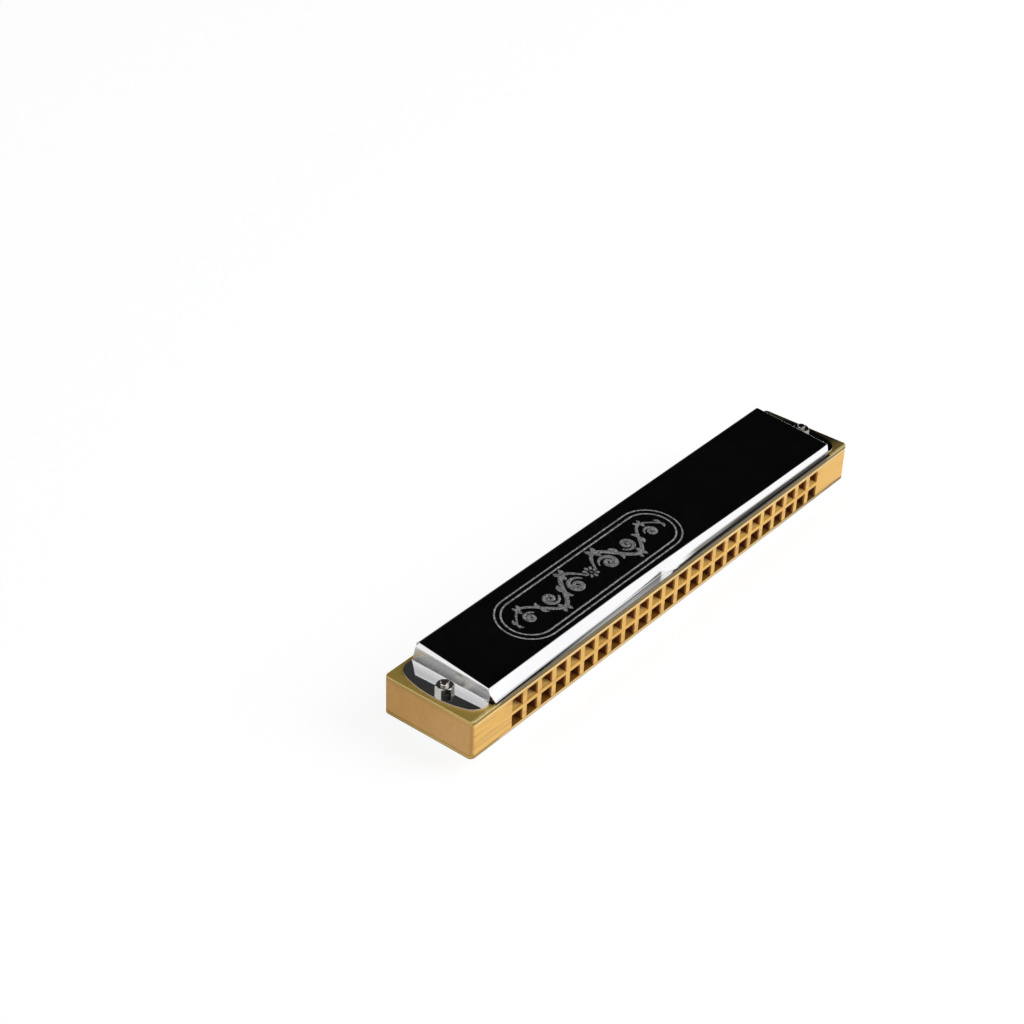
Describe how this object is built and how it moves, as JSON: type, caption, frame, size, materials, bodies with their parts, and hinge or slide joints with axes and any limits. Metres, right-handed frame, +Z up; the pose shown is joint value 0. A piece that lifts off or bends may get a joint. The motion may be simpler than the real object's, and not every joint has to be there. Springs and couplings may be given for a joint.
{
  "type": "tremolo harmonica",
  "caption": "Tremolo harmonica: wooden comb with two rows of mouth holes between brass reed plates, under two chromed covers.",
  "frame": {"origin": "on the surface that the harmonica lies on, under the middle of the comb", "axes": "+X along the row of holes towards the treble end, -Y out of the mouth holes, +Z up from the surface that the lower cover lies on"},
  "size_m": [0.178, 0.0308, 0.0241],
  "materials": {
    "wood": "honey varnish, satin",
    "plate_brass": "rolled, satin",
    "reed_brass": "rolled, satin",
    "chrome": "mirror",
    "screws": "nickel plated",
    "nails": "rolled"
  },
  "bodies": {
    "harmonica": {"comb": "wood", "cover_screws": "screws", "cover_nuts": "screws", "upper_reed_plate": "plate_brass", "upper_cover": "chrome", "upper_reed_rivets": "reed_brass", "upper_plate_nails": "nails", "lower_reed_plate": "plate_brass", "lower_cover": "chrome", "lower_reed_rivets": "reed_brass", "lower_plate_nails": "nails"},
    "upper_reed_01": {"upper_reed_01": "reed_brass"},
    "lower_reed_01": {"lower_reed_01": "reed_brass"},
    "upper_reed_02": {"upper_reed_02": "reed_brass"},
    "lower_reed_02": {"lower_reed_02": "reed_brass"},
    "upper_reed_03": {"upper_reed_03": "reed_brass"},
    "lower_reed_03": {"lower_reed_03": "reed_brass"},
    "upper_reed_04": {"upper_reed_04": "reed_brass"},
    "lower_reed_04": {"lower_reed_04": "reed_brass"},
    "upper_reed_05": {"upper_reed_05": "reed_brass"},
    "lower_reed_05": {"lower_reed_05": "reed_brass"},
    "upper_reed_06": {"upper_reed_06": "reed_brass"},
    "lower_reed_06": {"lower_reed_06": "reed_brass"},
    "upper_reed_07": {"upper_reed_07": "reed_brass"},
    "lower_reed_07": {"lower_reed_07": "reed_brass"},
    "upper_reed_08": {"upper_reed_08": "reed_brass"},
    "lower_reed_08": {"lower_reed_08": "reed_brass"},
    "upper_reed_09": {"upper_reed_09": "reed_brass"},
    "lower_reed_09": {"lower_reed_09": "reed_brass"},
    "upper_reed_10": {"upper_reed_10": "reed_brass"},
    "lower_reed_10": {"lower_reed_10": "reed_brass"},
    "upper_reed_11": {"upper_reed_11": "reed_brass"},
    "lower_reed_11": {"lower_reed_11": "reed_brass"},
    "upper_reed_12": {"upper_reed_12": "reed_brass"},
    "lower_reed_12": {"lower_reed_12": "reed_brass"},
    "upper_reed_13": {"upper_reed_13": "reed_brass"},
    "lower_reed_13": {"lower_reed_13": "reed_brass"},
    "upper_reed_14": {"upper_reed_14": "reed_brass"},
    "lower_reed_14": {"lower_reed_14": "reed_brass"},
    "upper_reed_15": {"upper_reed_15": "reed_brass"},
    "lower_reed_15": {"lower_reed_15": "reed_brass"},
    "upper_reed_16": {"upper_reed_16": "reed_brass"},
    "lower_reed_16": {"lower_reed_16": "reed_brass"},
    "upper_reed_17": {"upper_reed_17": "reed_brass"},
    "lower_reed_17": {"lower_reed_17": "reed_brass"},
    "upper_reed_18": {"upper_reed_18": "reed_brass"},
    "lower_reed_18": {"lower_reed_18": "reed_brass"},
    "upper_reed_19": {"upper_reed_19": "reed_brass"},
    "lower_reed_19": {"lower_reed_19": "reed_brass"},
    "upper_reed_20": {"upper_reed_20": "reed_brass"},
    "lower_reed_20": {"lower_reed_20": "reed_brass"},
    "upper_reed_21": {"upper_reed_21": "reed_brass"},
    "lower_reed_21": {"lower_reed_21": "reed_brass"},
    "upper_reed_22": {"upper_reed_22": "reed_brass"},
    "lower_reed_22": {"lower_reed_22": "reed_brass"},
    "upper_reed_23": {"upper_reed_23": "reed_brass"},
    "lower_reed_23": {"lower_reed_23": "reed_brass"},
    "upper_reed_24": {"upper_reed_24": "reed_brass"},
    "lower_reed_24": {"lower_reed_24": "reed_brass"}
  },
  "joints": [
    {"name": "upper_swing_01", "type": "hinge", "parent": "harmonica", "child": "upper_reed_01", "pos_m": [-0.07061, -0.00971, 0.01534], "axis": [1, 0, 0], "range_deg": [-1.8, 1.8], "stiffness_Nm_per_rad": 0.0513},
    {"name": "lower_swing_01", "type": "hinge", "parent": "harmonica", "child": "lower_reed_01", "pos_m": [-0.07061, -0.00904, 0.00573], "axis": [1, 0, 0], "range_deg": [-1.8, 1.8], "stiffness_Nm_per_rad": 0.0513},
    {"name": "upper_swing_02", "type": "hinge", "parent": "harmonica", "child": "upper_reed_02", "pos_m": [-0.06447, 0.00639, 0.01799], "axis": [1, 0, 0], "range_deg": [-1.8, 1.8], "stiffness_Nm_per_rad": 0.0524},
    {"name": "lower_swing_02", "type": "hinge", "parent": "harmonica", "child": "lower_reed_02", "pos_m": [-0.06447, 0.00728, 0.00535], "axis": [1, 0, 0], "range_deg": [-1.8, 1.8], "stiffness_Nm_per_rad": 0.0524},
    {"name": "upper_swing_03", "type": "hinge", "parent": "harmonica", "child": "upper_reed_03", "pos_m": [-0.05833, -0.00971, 0.01534], "axis": [1, 0, 0], "range_deg": [-1.8, 1.8], "stiffness_Nm_per_rad": 0.0536},
    {"name": "lower_swing_03", "type": "hinge", "parent": "harmonica", "child": "lower_reed_03", "pos_m": [-0.05833, -0.00904, 0.00573], "axis": [1, 0, 0], "range_deg": [-1.8, 1.8], "stiffness_Nm_per_rad": 0.0536},
    {"name": "upper_swing_04", "type": "hinge", "parent": "harmonica", "child": "upper_reed_04", "pos_m": [-0.05219, 0.0057, 0.01794], "axis": [1, 0, 0], "range_deg": [-1.8, 1.8], "stiffness_Nm_per_rad": 0.0548},
    {"name": "lower_swing_04", "type": "hinge", "parent": "harmonica", "child": "lower_reed_04", "pos_m": [-0.05219, 0.00658, 0.0053], "axis": [1, 0, 0], "range_deg": [-1.8, 1.8], "stiffness_Nm_per_rad": 0.0548},
    {"name": "upper_swing_05", "type": "hinge", "parent": "harmonica", "child": "upper_reed_05", "pos_m": [-0.04605, -0.00971, 0.01534], "axis": [1, 0, 0], "range_deg": [-1.8, 1.8], "stiffness_Nm_per_rad": 0.0562},
    {"name": "lower_swing_05", "type": "hinge", "parent": "harmonica", "child": "lower_reed_05", "pos_m": [-0.04605, -0.00904, 0.00573], "axis": [1, 0, 0], "range_deg": [-1.8, 1.8], "stiffness_Nm_per_rad": 0.0562},
    {"name": "upper_swing_06", "type": "hinge", "parent": "harmonica", "child": "upper_reed_06", "pos_m": [-0.03991, 0.00501, 0.01789], "axis": [1, 0, 0], "range_deg": [-1.8, 1.8], "stiffness_Nm_per_rad": 0.0575},
    {"name": "lower_swing_06", "type": "hinge", "parent": "harmonica", "child": "lower_reed_06", "pos_m": [-0.03991, 0.00589, 0.00525], "axis": [1, 0, 0], "range_deg": [-1.8, 1.8], "stiffness_Nm_per_rad": 0.0575},
    {"name": "upper_swing_07", "type": "hinge", "parent": "harmonica", "child": "upper_reed_07", "pos_m": [-0.03377, -0.00971, 0.01534], "axis": [1, 0, 0], "range_deg": [-1.8, 1.8], "stiffness_Nm_per_rad": 0.059},
    {"name": "lower_swing_07", "type": "hinge", "parent": "harmonica", "child": "lower_reed_07", "pos_m": [-0.03377, -0.00904, 0.00573], "axis": [1, 0, 0], "range_deg": [-1.8, 1.8], "stiffness_Nm_per_rad": 0.059},
    {"name": "upper_swing_08", "type": "hinge", "parent": "harmonica", "child": "upper_reed_08", "pos_m": [-0.02763, 0.00431, 0.01784], "axis": [1, 0, 0], "range_deg": [-1.8, 1.8], "stiffness_Nm_per_rad": 0.0605},
    {"name": "lower_swing_08", "type": "hinge", "parent": "harmonica", "child": "lower_reed_08", "pos_m": [-0.02763, 0.0052, 0.0052], "axis": [1, 0, 0], "range_deg": [-1.8, 1.8], "stiffness_Nm_per_rad": 0.0605},
    {"name": "upper_swing_09", "type": "hinge", "parent": "harmonica", "child": "upper_reed_09", "pos_m": [-0.02149, -0.00971, 0.01534], "axis": [1, 0, 0], "range_deg": [-1.8, 1.8], "stiffness_Nm_per_rad": 0.0621},
    {"name": "lower_swing_09", "type": "hinge", "parent": "harmonica", "child": "lower_reed_09", "pos_m": [-0.02149, -0.00904, 0.00573], "axis": [1, 0, 0], "range_deg": [-1.8, 1.8], "stiffness_Nm_per_rad": 0.0621},
    {"name": "upper_swing_10", "type": "hinge", "parent": "harmonica", "child": "upper_reed_10", "pos_m": [-0.01535, 0.00362, 0.01779], "axis": [1, 0, 0], "range_deg": [-1.8, 1.8], "stiffness_Nm_per_rad": 0.0637},
    {"name": "lower_swing_10", "type": "hinge", "parent": "harmonica", "child": "lower_reed_10", "pos_m": [-0.01535, 0.0045, 0.00515], "axis": [1, 0, 0], "range_deg": [-1.8, 1.8], "stiffness_Nm_per_rad": 0.0637},
    {"name": "upper_swing_11", "type": "hinge", "parent": "harmonica", "child": "upper_reed_11", "pos_m": [-0.00921, -0.00971, 0.01534], "axis": [1, 0, 0], "range_deg": [-1.8, 1.8], "stiffness_Nm_per_rad": 0.0655},
    {"name": "lower_swing_11", "type": "hinge", "parent": "harmonica", "child": "lower_reed_11", "pos_m": [-0.00921, -0.00904, 0.00573], "axis": [1, 0, 0], "range_deg": [-1.8, 1.8], "stiffness_Nm_per_rad": 0.0655},
    {"name": "upper_swing_12", "type": "hinge", "parent": "harmonica", "child": "upper_reed_12", "pos_m": [-0.00307, 0.00292, 0.01775], "axis": [1, 0, 0], "range_deg": [-1.8, 1.8], "stiffness_Nm_per_rad": 0.0674},
    {"name": "lower_swing_12", "type": "hinge", "parent": "harmonica", "child": "lower_reed_12", "pos_m": [-0.00307, 0.00381, 0.00511], "axis": [1, 0, 0], "range_deg": [-1.8, 1.8], "stiffness_Nm_per_rad": 0.0674},
    {"name": "upper_swing_13", "type": "hinge", "parent": "harmonica", "child": "upper_reed_13", "pos_m": [0.00307, -0.00971, 0.01534], "axis": [1, 0, 0], "range_deg": [-1.8, 1.8], "stiffness_Nm_per_rad": 0.0694},
    {"name": "lower_swing_13", "type": "hinge", "parent": "harmonica", "child": "lower_reed_13", "pos_m": [0.00307, -0.00904, 0.00573], "axis": [1, 0, 0], "range_deg": [-1.8, 1.8], "stiffness_Nm_per_rad": 0.0694},
    {"name": "upper_swing_14", "type": "hinge", "parent": "harmonica", "child": "upper_reed_14", "pos_m": [0.00921, 0.00223, 0.0177], "axis": [1, 0, 0], "range_deg": [-1.8, 1.8], "stiffness_Nm_per_rad": 0.0715},
    {"name": "lower_swing_14", "type": "hinge", "parent": "harmonica", "child": "lower_reed_14", "pos_m": [0.00921, 0.00311, 0.00506], "axis": [1, 0, 0], "range_deg": [-1.8, 1.8], "stiffness_Nm_per_rad": 0.0715},
    {"name": "upper_swing_15", "type": "hinge", "parent": "harmonica", "child": "upper_reed_15", "pos_m": [0.01535, -0.00971, 0.01534], "axis": [1, 0, 0], "range_deg": [-1.8, 1.8], "stiffness_Nm_per_rad": 0.0737},
    {"name": "lower_swing_15", "type": "hinge", "parent": "harmonica", "child": "lower_reed_15", "pos_m": [0.01535, -0.00904, 0.00573], "axis": [1, 0, 0], "range_deg": [-1.8, 1.8], "stiffness_Nm_per_rad": 0.0737},
    {"name": "upper_swing_16", "type": "hinge", "parent": "harmonica", "child": "upper_reed_16", "pos_m": [0.02149, 0.00154, 0.01765], "axis": [1, 0, 0], "range_deg": [-1.8, 1.8], "stiffness_Nm_per_rad": 0.0761},
    {"name": "lower_swing_16", "type": "hinge", "parent": "harmonica", "child": "lower_reed_16", "pos_m": [0.02149, 0.00242, 0.00501], "axis": [1, 0, 0], "range_deg": [-1.8, 1.8], "stiffness_Nm_per_rad": 0.0761},
    {"name": "upper_swing_17", "type": "hinge", "parent": "harmonica", "child": "upper_reed_17", "pos_m": [0.02763, -0.00971, 0.01534], "axis": [1, 0, 0], "range_deg": [-1.8, 1.8], "stiffness_Nm_per_rad": 0.0786},
    {"name": "lower_swing_17", "type": "hinge", "parent": "harmonica", "child": "lower_reed_17", "pos_m": [0.02763, -0.00904, 0.00573], "axis": [1, 0, 0], "range_deg": [-1.8, 1.8], "stiffness_Nm_per_rad": 0.0786},
    {"name": "upper_swing_18", "type": "hinge", "parent": "harmonica", "child": "upper_reed_18", "pos_m": [0.03377, 0.00084, 0.0176], "axis": [1, 0, 0], "range_deg": [-1.8, 1.8], "stiffness_Nm_per_rad": 0.0813},
    {"name": "lower_swing_18", "type": "hinge", "parent": "harmonica", "child": "lower_reed_18", "pos_m": [0.03377, 0.00173, 0.00496], "axis": [1, 0, 0], "range_deg": [-1.8, 1.8], "stiffness_Nm_per_rad": 0.0813},
    {"name": "upper_swing_19", "type": "hinge", "parent": "harmonica", "child": "upper_reed_19", "pos_m": [0.03991, -0.00971, 0.01534], "axis": [1, 0, 0], "range_deg": [-1.8, 1.8], "stiffness_Nm_per_rad": 0.0842},
    {"name": "lower_swing_19", "type": "hinge", "parent": "harmonica", "child": "lower_reed_19", "pos_m": [0.03991, -0.00904, 0.00573], "axis": [1, 0, 0], "range_deg": [-1.8, 1.8], "stiffness_Nm_per_rad": 0.0842},
    {"name": "upper_swing_20", "type": "hinge", "parent": "harmonica", "child": "upper_reed_20", "pos_m": [0.04605, 0.00015, 0.01755], "axis": [1, 0, 0], "range_deg": [-1.8, 1.8], "stiffness_Nm_per_rad": 0.0873},
    {"name": "lower_swing_20", "type": "hinge", "parent": "harmonica", "child": "lower_reed_20", "pos_m": [0.04605, 0.00103, 0.00491], "axis": [1, 0, 0], "range_deg": [-1.8, 1.8], "stiffness_Nm_per_rad": 0.0873},
    {"name": "upper_swing_21", "type": "hinge", "parent": "harmonica", "child": "upper_reed_21", "pos_m": [0.05219, -0.00971, 0.01534], "axis": [1, 0, 0], "range_deg": [-1.8, 1.8], "stiffness_Nm_per_rad": 0.0907},
    {"name": "lower_swing_21", "type": "hinge", "parent": "harmonica", "child": "lower_reed_21", "pos_m": [0.05219, -0.00904, 0.00573], "axis": [1, 0, 0], "range_deg": [-1.8, 1.8], "stiffness_Nm_per_rad": 0.0907},
    {"name": "upper_swing_22", "type": "hinge", "parent": "harmonica", "child": "upper_reed_22", "pos_m": [0.05833, -0.00055, 0.0175], "axis": [1, 0, 0], "range_deg": [-1.8, 1.8], "stiffness_Nm_per_rad": 0.0943},
    {"name": "lower_swing_22", "type": "hinge", "parent": "harmonica", "child": "lower_reed_22", "pos_m": [0.05833, 0.00034, 0.00486], "axis": [1, 0, 0], "range_deg": [-1.8, 1.8], "stiffness_Nm_per_rad": 0.0943},
    {"name": "upper_swing_23", "type": "hinge", "parent": "harmonica", "child": "upper_reed_23", "pos_m": [0.06447, -0.00971, 0.01534], "axis": [1, 0, 0], "range_deg": [-1.8, 1.8], "stiffness_Nm_per_rad": 0.0983},
    {"name": "lower_swing_23", "type": "hinge", "parent": "harmonica", "child": "lower_reed_23", "pos_m": [0.06447, -0.00904, 0.00573], "axis": [1, 0, 0], "range_deg": [-1.8, 1.8], "stiffness_Nm_per_rad": 0.0983},
    {"name": "upper_swing_24", "type": "hinge", "parent": "harmonica", "child": "upper_reed_24", "pos_m": [0.07061, -0.00124, 0.01745], "axis": [1, 0, 0], "range_deg": [-1.8, 1.8], "stiffness_Nm_per_rad": 0.1025},
    {"name": "lower_swing_24", "type": "hinge", "parent": "harmonica", "child": "lower_reed_24", "pos_m": [0.07061, -0.00036, 0.00481], "axis": [1, 0, 0], "range_deg": [-1.8, 1.8], "stiffness_Nm_per_rad": 0.1025}
  ]
}
